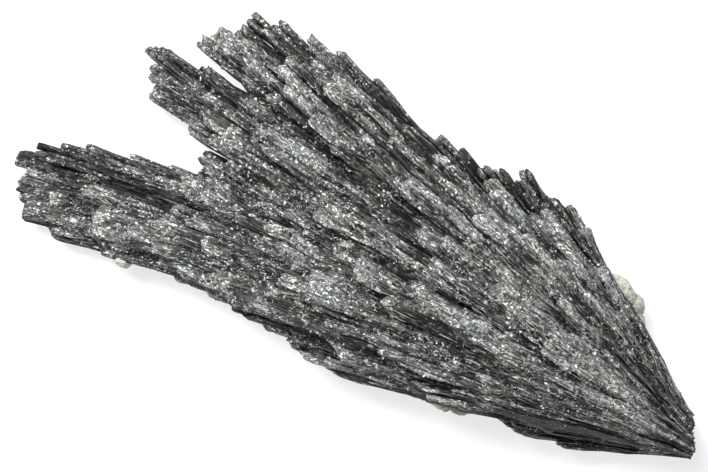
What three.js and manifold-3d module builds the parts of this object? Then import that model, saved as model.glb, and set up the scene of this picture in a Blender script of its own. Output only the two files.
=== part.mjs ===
// A black kyanite fan: a sheaf of flat crystal blades grown out of one broken
// root, with a little pale quartz left on its edges.
//
// Units are millimetres and +Z is up. The fan lies flat. +X runs from the root
// along the middle of the fan to the blade tips, and the origin is the middle
// of the underside.

import * as THREE from "three";
import { mergeVertices } from "three/addons/utils/BufferGeometryUtils.js";
import Module from "manifold-3d";

const wasm = await Module();
wasm.setup();

// ---------------------------------------------------------------- dimensions

// Every blade points back to one apex, just behind the broken root. Distances
// are measured from it, and bearings turn from +X towards +Y.
const BREAK_BEARING = 26; // the way the broken end of the root faces away from
const BREAK_DISTANCE = 3.3; // from the apex to the break
const GAP = 0.3; // clearance between the kyanite and the quartz beside it
const FINEST = 0.03; // steps smaller than this are smoothed out of a solid

// Thickness of the sheaf at distances from the apex, and how much of it is
// left at the two flanks of the fan.
const THICKNESS = [
  [0, 7.6],
  [14, 10.4],
  [34, 13.6],
  [56, 13.2],
  [78, 10.2],
  [96, 7.4],
  [108, 6.0],
];
const MIDDLE_BEARING = -6;
const HALF_SPREAD = 28;
const FLANK_LOSS = 0.33;
const ARCH = 0.9; // rise of the underside between the root and the tips
const ARCH_SPAN = 96;

// Section and length divisions of one blade: shares of its length, and its
// breadth there. Short straight blades do without the middle one.
const SIDES = 6;
const LONG = { stations: [0, 0.42, 0.95, 1], swell: [0.6, 0.9, 1, 0.74] };
const SHORT = { stations: [0, 0.94, 1], swell: [0.6, 1, 0.74] };
const SHORT_REACH = 68;

// The sheaf is four layers of blades. level is the height of the layer and
// thick its blades' thickness, both as shares of the sheaf's thickness. start
// is where the blades begin, as a distance from the apex.
const LAYERS = {
  floor: { level: 0.13, thick: 0.34 },
  outline: { level: 0.37, thick: 0.33, start: 20 },
  upper: { level: 0.62, thick: 0.33 },
  crest: { level: 0.85, thick: 0.32 },
};

// Each blade is [bearing of its tip in degrees, reach from the apex, breadth,
// lift of its tip, curl in degrees, own start].
const FLOOR = [
  [13.8, 30, 3.8, -0.5],
  [11.2, 54, 4.8, -0.3],
  [5.6, 91, 5.2, -0.6, 6],
  [3.4, 101, 5.0, 0, 7],
  [-0.6, 81, 5.2, 0.3, 2],
  [-5.2, 80, 4.4, 0],
  [-8.6, 91, 4.0, -0.3],
  [-12.6, 82, 4.4, -0.6],
  [-15.4, 87, 3.8, 0],
  [-19, 74, 3.8, 0.2],
  [-23.8, 48, 4.2, -0.4],
  [-30, 38, 3.2, 0.2],
];

const OUTLINE = [
  // the short blades along the lower flank
  [18.8, 22.8, 2.4, 0, 0, 3.5],
  [16.2, 30, 2.8, 0.4, 0, 3.5],
  [13, 37, 2.8, -0.3, 0, 8],
  [12.6, 56.6, 3.2, 0],
  [11.5, 60.4, 3.0, 0.5],
  [9.8, 62.4, 2.8, 0],
  [9, 67, 2.8, -0.2],
  [8.2, 71, 2.6, 0.5],
  [7.4, 76, 2.6, 0.1],
  [6.5, 81, 2.8, -0.2, 2],
  // the long lobe that bends away from the others
  [6.6, 90.6, 2.8, 0.3, 4],
  [6.8, 98.6, 2.8, 0, 6],
  [6.1, 103.2, 2.8, 0.5, 7],
  [5, 105, 2.6, -0.2, 8],
  [3.7, 105.2, 2.4, 0.4, 8],
  [2.6, 106.8, 2.4, -0.1, 8],
  [1.5, 104.4, 2.0, 0.6, 8],
  [0.8, 101.4, 2.0, 0, 8],
  [0, 98.4, 2.0, 0.5, 8],
  [-0.7, 92.6, 2.4, -0.2, 6],
  [-1.6, 86.4, 2.4, 0.3, 4],
  // the head of the notch
  [-3.2, 82.6, 2.4, 0.4, 1],
  [-4.5, 83.4, 2.0, 0],
  // the lobe beside the notch
  [-6.3, 87.4, 2.0, 0.5],
  [-7.2, 94.2, 2.2, 0],
  [-8.5, 96.2, 2.2, 0.4],
  [-10, 98, 2.4, -0.2],
  [-11.3, 90.2, 2.2, 0.4],
  // beyond the slot
  [-13.1, 93, 2.2, 0],
  [-14.5, 91.8, 2.4, 0.5],
  [-16, 89.6, 2.4, -0.2],
  // the shoulder and its steps
  [-17.6, 89.8, 2.4, 0.4],
  [-18.7, 86.6, 2.4, 0],
  [-19.9, 81.6, 2.4, 0.6],
  [-20.9, 77.4, 2.2, -0.1],
  [-21.5, 71.2, 2.0, 0.4],
  [-20.9, 66.4, 2.0, 0],
  // the steep flank
  [-22.6, 59, 2.0, 0.3],
  [-23.9, 55.6, 2.0, 0],
  [-25.2, 52.4, 2.0, 0.5],
  [-26.8, 50.8, 1.8, 0],
  [-28.4, 47.6, 1.6, 0.4],
  [-30.1, 48.4, 1.8, 0],
  [-31.4, 43, 1.8, 0.4, 0, 5.6],
  [-33.3, 40.8, 1.8, 0, -4, 5.2],
  [-34.2, 37.6, 1.6, 0.3, -7, 4.8],
];

const UPPER = [
  [14.6, 26, 2.4, 0],
  [12.4, 42, 3.2, 0.4],
  [9.2, 56, 3.6, 0],
  [6.8, 73, 3.6, 0.4, 2],
  [5, 93, 3.6, 0, 6],
  [2.6, 84, 3.6, 0.5, 5],
  [0, 75, 4.0, 0, 3],
  [-3.2, 69, 4.0, 0.5],
  [-7.4, 82, 3.2, 0],
  [-9.6, 79, 3.2, 0.5],
  [-12.2, 66, 3.4, 0],
  [-15, 81, 3.2, 0.4],
  [-18.2, 76, 2.6, 0.6],
  [-20.2, 64, 2.4, 0],
  [-24.2, 50, 2.6, 0.4],
  [-28, 42, 2.6, 0],
  [-31.6, 32, 2.2, 0.3],
];

const CREST = [
  [10.5, 35, 3.2, 0],
  [6.4, 50, 3.8, 0.4],
  [2.2, 62, 3.8, 0],
  [-2.4, 57, 3.8, 0.5],
  [-7, 65, 3.4, 0],
  [-11.4, 52, 3.4, 0.5],
  [-15.4, 61, 3.2, 0],
  [-19.8, 47, 3.2, 0.4],
  [-25.4, 35, 2.8, 0],
];

// ------------------------------------------------------------------- helpers

const radians = THREE.MathUtils.degToRad;
const lerp = THREE.MathUtils.lerp;

function solid(geometry) {
  const bare = geometry.clone();
  bare.deleteAttribute("normal");
  bare.deleteAttribute("uv");
  const merged = mergeVertices(bare, 1e-4);
  return new wasm.Manifold(
    new wasm.Mesh({
      numProp: 3,
      vertProperties: new Float32Array(merged.attributes.position.array),
      triVerts: new Uint32Array(merged.index.array),
    }),
  );
}

function geometryOf(manifold) {
  const mesh = manifold.getMesh();
  const geometry = new THREE.BufferGeometry();
  const points = new THREE.BufferAttribute(mesh.vertProperties, mesh.numProp);
  geometry.setAttribute("position", points);
  geometry.setIndex(new THREE.BufferAttribute(mesh.triVerts, 1));
  geometry.computeVertexNormals();
  return geometry;
}

function sheafThickness(s, bearing) {
  const i = THICKNESS.findIndex(([at]) => at > s);
  const [a, ta] = THICKNESS[i - 1];
  const [b, tb] = THICKNESS[i];
  const off = (bearing - MIDDLE_BEARING) / HALF_SPREAD;
  return lerp(ta, tb, (s - a) / (b - a)) * (1 - FLANK_LOSS * off * off);
}

// A blade's axis, a distance s from the apex. The bearing drifts with the
// square of the distance, so a curled blade leaves the root straight.
function axisPoint([bearing, reach, , , curl = 0], s) {
  const b = radians(bearing - (curl / 2) * (1 - (s / reach) ** 2));
  return new THREE.Vector2(Math.cos(b), Math.sin(b)).multiplyScalar(s);
}

// One crystal: a flattened six-sided prism that widens from the root and ends
// in an oblique break. grow swells it evenly, to cut clearances with.
function blade(layer, row, index, grow) {
  const [bearing, reach, breadth, lift, , ownStart] = row;
  const breakAt = BREAK_DISTANCE / Math.cos(radians(BREAK_BEARING - bearing));
  const start = ownStart ?? layer.start ?? breakAt + 0.25 * (index % 3);
  const skew = [0.55, -0.4, 0.25, -0.6, 0.4][index % 5];
  const rake = [0.5, 0.2, 0.7, -0.3][index % 4];
  const lean = radians([6, -9, 3, -5, 10, -2][index % 6]);
  const { stations, swell } = layer === LAYERS.outline && reach < SHORT_REACH ? SHORT : LONG;
  const last = stations.length - 1;
  const shape = new THREE.CylinderGeometry(1, 1, 1, SIDES, last);
  const p = shape.attributes.position;
  for (let i = 0; i < p.count; i++) {
    const k = Math.round((0.5 - p.getY(i)) * last);
    const along = lerp(start, reach, stations[k]);
    const thick = layer.thick * sheafThickness(along, bearing);
    const narrow = lerp(0.34, 1, Math.min(1, along / (0.72 * reach)));
    const a = p.getZ(i) * swell[k] * ((breadth / 2) * narrow + grow);
    const u = (-p.getX(i) / Math.sin(Math.PI / 3)) * swell[k] ** 0.5 * (thick / 2 + grow);
    const oblique = k < last - 1 ? 0 : skew * a - rake * u;
    const s = along + oblique + (k === last ? grow : 0);
    const axis = axisPoint(row, s);
    const ahead = axisPoint(row, s + 0.5).sub(axis).normalize();
    const sideways = a * Math.cos(lean) - u * Math.sin(lean);
    const level = layer.level * sheafThickness(along, bearing);
    const arch = ARCH * Math.sin((Math.PI * Math.min(along, ARCH_SPAN)) / ARCH_SPAN);
    p.setXYZ(
      i,
      axis.x - ahead.y * sideways,
      axis.y + ahead.x * sideways,
      arch + level + lift * (s / reach) + u * Math.cos(lean) + a * Math.sin(lean),
    );
  }
  return solid(shape);
}

// The whole sheaf, planed flat where it touches the ground.
function sheaf(grow = 0) {
  const blades = [
    ...FLOOR.map((row, i) => blade(LAYERS.floor, row, i, grow)),
    ...OUTLINE.map((row, i) => blade(LAYERS.outline, row, i, grow)),
    ...UPPER.map((row, i) => blade(LAYERS.upper, row, i, grow)),
    ...CREST.map((row, i) => blade(LAYERS.crest, row, i, grow)),
  ];
  const joined = blades.reduce((whole, next) => whole.add(next)).trimByPlane([0, 0, 1], 0);
  const shells = joined.decompose().filter((shell) => shell.volume() > 0);
  return shells.reduce((whole, next) => whole.add(next)).simplify(FINEST);
}

// A rounded grain of quartz, with a slightly lumpy surface.
function grain([x, y, z, length, breadth, height, turn], index) {
  const shape = new THREE.IcosahedronGeometry(1, 1);
  const p = shape.attributes.position;
  const v = new THREE.Vector3();
  for (let i = 0; i < p.count; i++) {
    v.fromBufferAttribute(p, i);
    const lump = Math.sin(3 * v.x + index) * Math.cos(4 * v.y - index) * Math.sin(3.4 * v.z + 1);
    v.multiplyScalar(1 + 0.14 * lump);
    p.setXYZ(i, v.x, v.y, v.z);
  }
  shape.scale(length / 2, breadth / 2, height / 2);
  shape.rotateZ(radians(turn));
  shape.translate(x, y, z);
  return solid(shape);
}

// Grains grown together against the fan, cut clear of it. What is left inside
// the fan is hidden, so only the largest body is kept.
function quartz(grains, clearance) {
  const lump = grains.map(grain).reduce((whole, next) => whole.add(next));
  const bodies = lump.subtract(clearance).decompose();
  const most = bodies.reduce((a, b) => (b.volume() > a.volume() ? b : a));
  return most.simplify(FINEST);
}

// ------------------------------------------------------------------ the part

// Each grain is [x, y, z from the apex, length, breadth, height, turn].
const FLANK_GRAINS = [
  [22.5, -14.4, 4.0, 6.2, 5.0, 5.4, -40],
  [20.1, -13.9, 3.4, 4.2, 4.0, 4.4, 10],
  [18.5, -12.5, 3.9, 3.2, 2.6, 3.2, -30],
];
const LOBE_GRAINS = [
  [86.9, 11.1, 3.5, 2.6, 2.2, 2.6, 15],
];
const EDGE_GRAINS = [
  [35.4, 9.4, 5.4, 2.8, 1.9, 2.4, 14],
  [37.9, 9.7, 5.3, 3.2, 1.8, 2.4, 12],
];

const fan = sheaf();
const clearance = sheaf(GAP);

const kyanite = { color: 0x3b3d3f, roughness: 0.5, metalness: 0.1 };
const paleQuartz = { color: 0xb9bcb0, roughness: 0.55, metalness: 0 };

const object = new THREE.Group();
function addPart(name, manifold, look) {
  const mesh = new THREE.Mesh(geometryOf(manifold), new THREE.MeshStandardMaterial(look));
  mesh.name = name;
  object.add(mesh);
}
addPart("kyanite_fan", fan, kyanite);
addPart("quartz_flank", quartz(FLANK_GRAINS, clearance), paleQuartz);
addPart("quartz_lobe", quartz(LOBE_GRAINS, clearance), paleQuartz);
addPart("quartz_edge", quartz(EDGE_GRAINS, clearance), paleQuartz);

// Stand the fan on the middle of its underside.
const middle = new THREE.Box3().setFromObject(object).getCenter(new THREE.Vector3());
object.position.set(-middle.x, -middle.y, 0);

export default object;
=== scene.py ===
"""A black kyanite fan, lying flat.

It is built up in this order: a core of long blades from the broken root, splinters round the blade ends,
shingles of thinner blades broken off at every length on both faces, a matted crust, loose fibres, mica flakes,
and grains of quartz. Geometry Nodes sweep every blade along a guide line that the layout functions lay down.
"""

import math
from collections import namedtuple

import bpy
import numpy as np
from mathutils import Matrix, Vector, noise
from mathutils.bvhtree import BVHTree


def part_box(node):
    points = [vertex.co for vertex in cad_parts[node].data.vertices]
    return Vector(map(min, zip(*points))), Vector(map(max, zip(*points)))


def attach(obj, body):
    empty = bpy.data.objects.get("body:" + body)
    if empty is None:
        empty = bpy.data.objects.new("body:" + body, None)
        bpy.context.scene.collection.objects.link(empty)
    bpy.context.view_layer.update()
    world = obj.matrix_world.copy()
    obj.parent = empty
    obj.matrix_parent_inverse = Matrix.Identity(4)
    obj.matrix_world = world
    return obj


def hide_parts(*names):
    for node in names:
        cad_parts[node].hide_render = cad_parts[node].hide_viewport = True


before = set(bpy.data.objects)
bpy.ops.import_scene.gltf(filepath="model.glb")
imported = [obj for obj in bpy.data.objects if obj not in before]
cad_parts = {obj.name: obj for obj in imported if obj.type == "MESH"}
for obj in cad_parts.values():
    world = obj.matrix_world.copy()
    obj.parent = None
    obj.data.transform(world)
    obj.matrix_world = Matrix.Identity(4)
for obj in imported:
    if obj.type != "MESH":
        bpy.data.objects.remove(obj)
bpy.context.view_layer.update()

# ----------------------------------------------------------------------------------------- driving sizes
# Tables and sizes below are in millimetres of a fan FAN_LENGTH long; MM makes them metres of the frame's
# fan. A blade is placed by its bearing in degrees and its distance from the apex.

FAN_LENGTH = 103.92
low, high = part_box("kyanite_fan")
MM = (high.x - low.x) / FAN_LENGTH
# The apex that every blade points back to, just behind the broken root.
APEX = np.array([low.x / MM - 3.16, high.y / MM - 13.35])

BREAK_BEARING = 26.0
BREAK_DISTANCE = 3.3
THICKNESS = np.array([(0, 7.6), (14, 10.4), (34, 13.6), (56, 13.2), (78, 10.2), (96, 7.4), (108, 6.0)])
MIDDLE_BEARING, HALF_SPREAD, FLANK_LOSS = -6.0, 28.0, 0.33
ARCH, ARCH_SPAN = 0.9, 96.0
# The bearings of the fan's two edges, which loose pieces are scattered between.
EDGES = (-35, 19)

# The blades of the core. start is where a blade begins, if that isn't where its layer does.
Blade = namedtuple("Blade", "bearing reach breadth lift curl start", defaults=(0, None))
FLOOR = [
    [13.8, 30, 3.8, -0.5], [11.2, 54, 4.8, -0.3], [5.6, 91, 5.2, -0.6, 6], [3.4, 101, 5.0, 0, 7],
    [-0.6, 81, 5.2, 0.3, 2], [-5.2, 80, 4.4, 0], [-8.6, 91, 4.0, -0.3], [-12.6, 82, 4.4, -0.6],
    [-15.4, 87, 3.8, 0], [-19, 74, 3.8, 0.2], [-23.8, 48, 4.2, -0.4], [-30, 38, 3.2, 0.2],
]
OUTLINE = [
    # the short blades along the lower flank
    [18.8, 22.8, 2.4, 0, 0, 3.5], [16.2, 30, 2.8, 0.4, 0, 3.5], [13, 37, 2.8, -0.3, 0, 8],
    [12.4, 56.6, 3.0, 0, 1.2], [11.5, 60.4, 3.0, 0.5], [9.8, 62.4, 2.8, 0], [9, 67, 2.8, -0.2],
    [8.2, 71, 2.6, 0.5], [7.4, 76, 2.6, 0.1], [6.5, 81, 2.8, -0.2, 2],
    # the long lobe that bends away from the others
    [6.6, 90.6, 2.8, 0.3, 4], [6.8, 98.6, 2.8, 0, 6], [6.1, 103.2, 2.8, 0.5, 7], [5, 105, 2.6, -0.2, 8],
    [3.7, 105.2, 2.4, 0.4, 8], [2.6, 106.8, 2.4, -0.1, 8], [1.5, 104.4, 2.0, 0.6, 8],
    [0.8, 101.4, 2.0, 0, 8], [0, 98.4, 2.0, 0.5, 8], [-0.7, 92.6, 2.4, -0.2, 6], [-1.6, 86.4, 2.4, 0.3, 4],
    # the head of the notch
    [-3.2, 82.6, 2.4, 0.4, 1], [-4.5, 83.4, 2.0, 0],
    # the lobe beside the notch
    [-6.3, 87.4, 2.0, 0.5], [-7.2, 94.2, 2.2, 0], [-8.5, 96.2, 2.2, 0.4], [-10, 98, 2.4, -0.2],
    [-11.3, 90.2, 2.2, 0.4],
    # beyond the slot
    [-13.1, 93, 2.2, 0], [-14.5, 91.8, 2.4, 0.5], [-16, 89.6, 2.4, -0.2],
    # the shoulder and its steps
    [-17.6, 89.8, 2.4, 0.4], [-18.7, 86.6, 2.4, 0], [-19.9, 81.6, 2.4, 0.6], [-20.9, 77.4, 2.2, -0.1],
    [-21.5, 71.2, 2.0, 0.4], [-20.9, 66.4, 2.0, 0],
    # the steep flank
    [-22.6, 59, 2.0, 0.3], [-23.9, 55.6, 2.0, 0], [-25.2, 52.4, 2.0, 0.5], [-26.8, 50.8, 1.8, 0],
    [-28.4, 47.6, 1.6, 0.4], [-30.1, 48.4, 1.8, 0], [-31.4, 43, 1.8, 0.4, 0, 6.2],
    [-33.3, 40.8, 1.8, 0, -4, 6.0], [-34.2, 37.6, 1.6, 0.3, -7, 6.0],
]
UPPER = [
    [14.6, 26, 2.4, 0], [12.4, 42, 3.2, 0.4], [9.2, 56, 3.6, 0], [6.8, 73, 3.6, 0.4, 2], [5, 93, 3.6, 0, 6],
    [2.6, 84, 3.6, 0.5, 5], [0, 75, 4.0, 0, 3], [-3.2, 69, 4.0, 0.5], [-7.4, 82, 3.2, 0],
    [-9.6, 79, 3.2, 0.5], [-12.2, 66, 3.4, 0], [-15, 81, 3.2, 0.4], [-18.2, 76, 2.6, 0.6],
    [-20.2, 64, 2.4, 0], [-24.2, 50, 2.6, 0.4], [-28, 42, 2.6, 0], [-31.6, 32, 2.2, 0.3],
]
CREST = [
    [10.5, 35, 3.2, 0], [6.4, 50, 3.8, 0.4], [2.2, 62, 3.8, 0], [-2.4, 57, 3.8, 0.5], [-7, 65, 3.4, 0],
    [-11.4, 52, 3.4, 0.5], [-15.4, 61, 3.2, 0], [-19.8, 47, 3.2, 0.4], [-25.4, 35, 2.8, 0],
]
# Each layer of the core: its blades, the level of their middle and their thickness as shares of the sheaf's
# thickness, where they start, how a blade may be split (strips, tiers), how much shorter a strip may be, and
# how blunt it is.
Layer = namedtuple("Layer", "rows level thick start splits shortfall blunt")
CORE = {
    "floor": Layer(FLOOR, 0.13, 0.34, None, [(2, 2), (3, 2)], 0.05, 0.7),
    "outline": Layer(OUTLINE, 0.37, 0.33, 20.0, [(1, 2), (2, 2), (2, 1), (2, 3)], 0.014, 0.74),
    "upper": Layer(UPPER, 0.62, 0.33, None, [(1, 2), (2, 2), (2, 1)], 0.07, 0.5),
    "crest": Layer(CREST, 0.85, 0.32, None, [(1, 1), (2, 1), (2, 2)], 0.09, 0.5),
}

# Frosted and dark places, as [distance, bearing, length, breadth, strength]: above 0 is frosted, below 0 a
# trench between blades, whose dark is painted shade.
PLACES = np.array([
    [86, -15.4, 14, 4, 0.8], [88, -13.4, 8, 4, 0.5], [74, -17.7, 8, 2, 0.9], [74, -13.1, 12, 4, 0.6],
    [72, -10.5, 10, 3, 0.9], [64, -17.1, 16, 3, 0.7], [76, -3.7, 14, 5, 0.7], [83, -2.2, 12, 4, 0.6],
    [74, 7, 12, 3, 0.6], [97, 4.7, 12, 3, 0.5], [83, 3, 10, 3, 0.6], [91, 6.5, 14, 4, 0.5],
    [47, -24.9, 9, 3, 0.5], [39, -22.9, 12, 5, 0.7], [37, -13.3, 12, 4, 0.7], [47, -16, 10, 4, 0.7],
    [31, -11.3, 12, 4, 0.5], [19, -7.9, 9, 4, 1.5], [24, -9.6, 9, 5, 0.4], [24, -20.6, 12, 3, 0.5],
    [30, -17.7, 10, 3, 0.4], [14, -2.1, 9, 3, 0.3], [9, -8.2, 9, 2, 0.3], [62, -7.7, 12, 5, 0.35],
    [66, -2.6, 12, 5, 0.35], [60, -1, 12, 5, 0.3], [35, -34.1, 10, 3, 0.4], [25, -32, 20, 4, 0.9],
    [53, -5.5, 10, 4, 0.3], [45, 2.5, 10, 4, 0.3], [82, -16.4, 12, 1.4, -1], [62, -20.4, 18, 1.4, -1],
    [49, 0.2, 14, 2.5, -0.8], [42, 1.9, 12, 2.5, -0.8], [73, -7.2, 10, 2, -0.8], [24, -18.6, 9, 1.6, -0.9],
    [17, -22.6, 11, 1.9, -1.2], [9, -18.5, 9, 2.4, -1.1], [14, -13.5, 12, 1.4, -0.9],
    [25, 12.5, 36, 3, -0.6], [89, 1.4, 24, 2.6, -0.7], [99, 2, 12, 2.6, -0.6], [82, -11.2, 10, 2, -0.6],
    [85, -8.9, 18, 3, -0.5], [63, -13.9, 18, 2, -0.6], [48, -9.8, 16, 3, -0.5], [37, 6.1, 18, 3, -0.4],
    [56, 9.5, 18, 3, -0.35],
])

# The blades that stand out on top, as [bearing of the tip, reach, length, breadth, thickness, proud].
LANDMARKS = [
    [-17.6, 75.4, 40, 2.4, 1.5, 1.5], [-18.9, 75.3, 26, 1.6, 1.1, 0.8], [-10.1, 77.5, 26, 2.0, 1.2, 1.0],
    [-11.8, 76.5, 22, 1.6, 1.0, 0.8], [-10.4, 74.5, 34, 2.2, 1.3, 1.4], [-19.1, 48.2, 32, 2.4, 1.4, 1.2],
    [-20.9, 57.9, 22, 2.0, 1.2, 1.0], [-19.3, 54, 16, 2.0, 1.0, 0.9], [-13.1, 69.4, 18, 1.6, 1.2, 1.0],
    [-12.9, 89.9, 24, 1.8, 1.1, 0.8], [-13.1, 80.7, 22, 2.0, 1.2, 1.0], [-14.1, 73.9, 24, 2.2, 1.2, 1.1],
    [-11.3, 82.7, 20, 1.5, 1.0, 0.9], [-5.6, 66, 30, 2.4, 1.2, 0.9], [-1.5, 71, 28, 2.4, 1.2, 0.8],
    [3.4, 66, 30, 2.2, 1.1, 0.8], [6.2, 58, 30, 2.2, 1.1, 0.8], [-14.6, 58, 30, 2.0, 1.3, 1.1],
    [-16.5, 52, 26, 2.2, 1.3, 1.2], [-22.4, 42, 24, 2.0, 1.2, 1.0], [-27, 38, 22, 1.6, 1.1, 0.8],
    [0.6, 52, 28, 2.4, 1.2, 0.9], [8.4, 47, 26, 2.2, 1.1, 0.7], [-8.6, 49, 28, 2.2, 1.2, 1.0],
    [-12.6, 40, 24, 2.0, 1.2, 1.0], [-3.4, 40, 26, 2.2, 1.2, 0.8], [4.6, 88, 24, 2.4, 1.0, 0.7],
    [1.2, 84, 22, 2.2, 1.0, 0.7], [3.0, 96, 20, 2.2, 1.0, 0.6], [6.6, 80, 26, 2.2, 0.9, 0.6],
    [-7.6, 86, 22, 1.8, 1.0, 0.8], [-9.3, 88, 20, 1.6, 1.0, 0.7], [-16.8, 82, 22, 1.8, 1.1, 0.9],
    [-18.4, 64, 24, 1.6, 1.1, 0.8], [-24.6, 30, 20, 1.8, 1.1, 0.9], [-18.6, 32, 22, 2.0, 1.2, 1.0],
    [-13.6, 28, 20, 1.5, 1.0, 0.6], [-6.4, 30, 22, 1.4, 0.9, 0.3], [6.8, 36, 24, 2.0, 1.0, 0.6],
]

# Each rounded grain, as [along, across, height of its middle, length, breadth, thickness, turn].
QUARTZ = {
    "quartz_flank": [[22.5, -14.4, 4.0, 6.2, 5.0, 5.4, -40], [20.1, -13.9, 3.4, 4.2, 4.0, 4.4, 10],
                     [18.5, -12.5, 3.9, 3.2, 2.6, 3.2, -30], [24.6, -13.6, 4.4, 3.2, 2.8, 3.6, -30]],
    "quartz_lobe": [[86.9, 11.4, 3.8, 2.6, 2.2, 2.6, 15], [87.8, 11.2, 4.1, 1.5, 1.3, 1.6, 40],
                    [86.0, 11.2, 3.5, 1.4, 1.2, 1.3, 70]],
    "quartz_edge": [[35.4, 9.4, 5.4, 2.8, 1.9, 2.4, 14], [37.9, 9.7, 5.3, 3.2, 1.8, 2.4, 12],
                    [36.6, 9.5, 5.7, 1.6, 1.3, 1.6, 50], [39.5, 9.9, 4.9, 1.5, 1.1, 1.3, 10],
                    [34.0, 9.0, 5.0, 1.4, 1.1, 1.2, 30], [36.9, 9.9, 4.7, 1.7, 1.2, 1.3, 70]],
}

dice = np.random.default_rng(20)


# ------------------------------------------------------------------------------------ shape of the sheaf

def sheaf_thickness(s, bearing):
    off = (np.asarray(bearing) - MIDDLE_BEARING) / HALF_SPREAD
    return np.interp(s, THICKNESS[:, 0], THICKNESS[:, 1]) * (1 - FLANK_LOSS * off * off)


def arch(s):
    """How far the underside rises off the ground."""
    return ARCH * np.sin(np.pi * np.minimum(s, ARCH_SPAN) / ARCH_SPAN)


def drifted_bearing(bearing, reach, curl, s):
    """The bearing along a curled blade, which leaves the root straight."""
    return bearing - curl / 2 * (1 - (s / reach) ** 2)


def polar(s, bearing):
    """Points in the plan at a distance and bearing from the apex."""
    turn = np.radians(bearing)
    return APEX + np.stack([np.cos(turn), np.sin(turn)], axis=-1) * np.asarray(s)[..., None]


def unit(v):
    return v / np.maximum(np.linalg.norm(v, axis=-1, keepdims=True), 1e-9)


def directions(line):
    """Unit tangents of a line of points."""
    return unit(np.gradient(line, axis=0))


def root_break(bearing):
    """Where the broken root lies, as a distance from the apex. A small notch is broken out of it."""
    notch = 0.8 * math.exp(-((bearing + 18) / 4.5) ** 2)
    return BREAK_DISTANCE / math.cos(math.radians(BREAK_BEARING - bearing)) + 0.3 + notch


def slash_at(bearing, reach):
    """How obliquely a blade is broken off: along the fan's lower rim the break follows the rim."""
    steepest = 1.9
    near_rim = np.clip((bearing - 5.5) / 1.5, 0, 1)
    return steepest * float(near_rim * np.clip((86 - reach) / 4, 0, 1) * np.clip((reach - 18) / 8, 0, 1))


def curl_at(bearing, reach):
    """How much the long lobe bends its blades away from the others."""
    return 8 * np.clip((reach - 80) / 20, 0, 1) * np.clip((bearing + 2.5) / 3, 0, 1)


def looseness(reach, bearing):
    """How far apart the blades stand: 1 on the steep side of the fan, 0 on the long lobe's side and at the
    root."""
    return float(np.clip((2 - bearing) / 9, 0, 1) * np.clip((reach - 14) / 22, 0, 1))


def tone_at(s, bearing):
    """Frosted above 0, below 0 a trench painted dark as shade, at stations given by their distance and
    bearing.
    """
    s, bearing = np.broadcast_arrays(np.asarray(s, float), np.asarray(bearing, float))
    place_s, place_bearing, length, breadth, strength = PLACES.T
    along = (s[..., None] - place_s) / (length * 0.55)
    across = np.radians(bearing[..., None] - place_bearing) * s[..., None] / (breadth * 0.55)
    return (strength * np.exp(-along ** 2 - across ** 2)).sum(axis=-1)


def frost_at(s, end):
    """How frosted a blade is at each station: its broken end is."""
    frosted_length = 3.6
    return dice.uniform(0.3, 1.4) * np.clip(1 - (end - s) / frosted_length, 0, 1)


# ------------------------------------------------------------------------------------------- guide lines

# The open slot between two lobes: where its head is from the apex, its bearing and half its breadth.
SLOT_HEAD, SLOT_BEARING, SLOT_HALF = 82.0, -12.0, 0.26
# A lane is where a blade lies across the fan, as it would at this distance from the apex.
LANE_REACH = 60.0
# How much breadth of the map a blade takes, for each millimetre of its half breadth and half thickness.
GIRTH = 3.4


def clear_of_slot(line, half_width):
    """A blade's axis, moved aside where the blade would close the slot."""
    flat = line[:, :2] - APEX
    turn = math.radians(SLOT_BEARING)
    across = np.array([-math.sin(turn), math.cos(turn)])
    aside = flat @ across
    side = 1.0 if aside[-1] > 0 else -1.0
    short = np.clip(SLOT_HALF + 1.2 * half_width - side * aside, 0, None)
    short = short * np.clip((np.hypot(flat[:, 0], flat[:, 1]) - SLOT_HEAD) / 3, 0, 1)
    moved = line.copy()
    moved[:, :2] += across * (side * short)[:, None]
    return moved


def guide(line, side, rise, half_width, half_thick, run, lane, frost, slash=0.0):
    """One blade to sweep: its axis, the frame of its section at each station, and its sizes in millimetres.
    An extra station at each end, where fill is 0, closes the blade to a point."""
    count = len(line)

    def stationed(values):
        return np.pad(np.broadcast_to(values, (count,)).astype(float), 1, mode="edge")

    def stationed_vectors(values):
        return np.pad(values, ((1, 1), (0, 0)), mode="edge")

    length = np.concatenate([[0], np.cumsum(np.linalg.norm(np.diff(line, axis=0), axis=1))])
    frost = frost + dice.normal(0, 0.45)
    line = clear_of_slot(line, half_width)
    return {
        "axis": stationed_vectors(line), "side": stationed_vectors(side), "rise": stationed_vectors(rise),
        "half_width": stationed(half_width), "half_thick": stationed(half_thick), "run": stationed(run),
        "along": stationed(length), "share": stationed(length / length[-1]), "frost": stationed(frost),
        "fill": np.pad(np.ones(count), 1),
        "seed": dice.uniform(0, 60),
        "slash": slash + dice.normal(0, 0.3),
        "lane": math.radians(lane) * LANE_REACH,
        "girth": GIRTH * float(np.max(half_width) + np.max(half_thick)),
    }


def stations(start, end, step, bevel=0.35):
    """Distances of a blade's stations, closer together at its end."""
    count = max(4, int(math.ceil((end - start) / step)))
    return np.concatenate([
        np.linspace(start, end - 3 * bevel, count), [end - 1.3 * bevel, end - 0.4 * bevel, end]])


def tapered(s, root, full_at, tip):
    """Share of a blade's full breadth along it: root at its start, 1 from full_at on, rounded off to tip at
    its very end."""
    grow = root + (1 - root) * np.clip((s - s[0]) / max(full_at - s[0], 1e-6), 0, 1)
    shut = np.ones(len(s))
    shut[-3:] = 1 - (1 - tip) * np.array([0.16, 0.5, 1.0])
    return grow * shut


def wander(s, amplitude):
    """A slow sideways wave along a blade."""
    wave = dice.uniform(9, 26)
    return amplitude * np.sin(2 * np.pi * (s / wave + dice.uniform())) * dice.uniform(0.4, 1)


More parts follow.
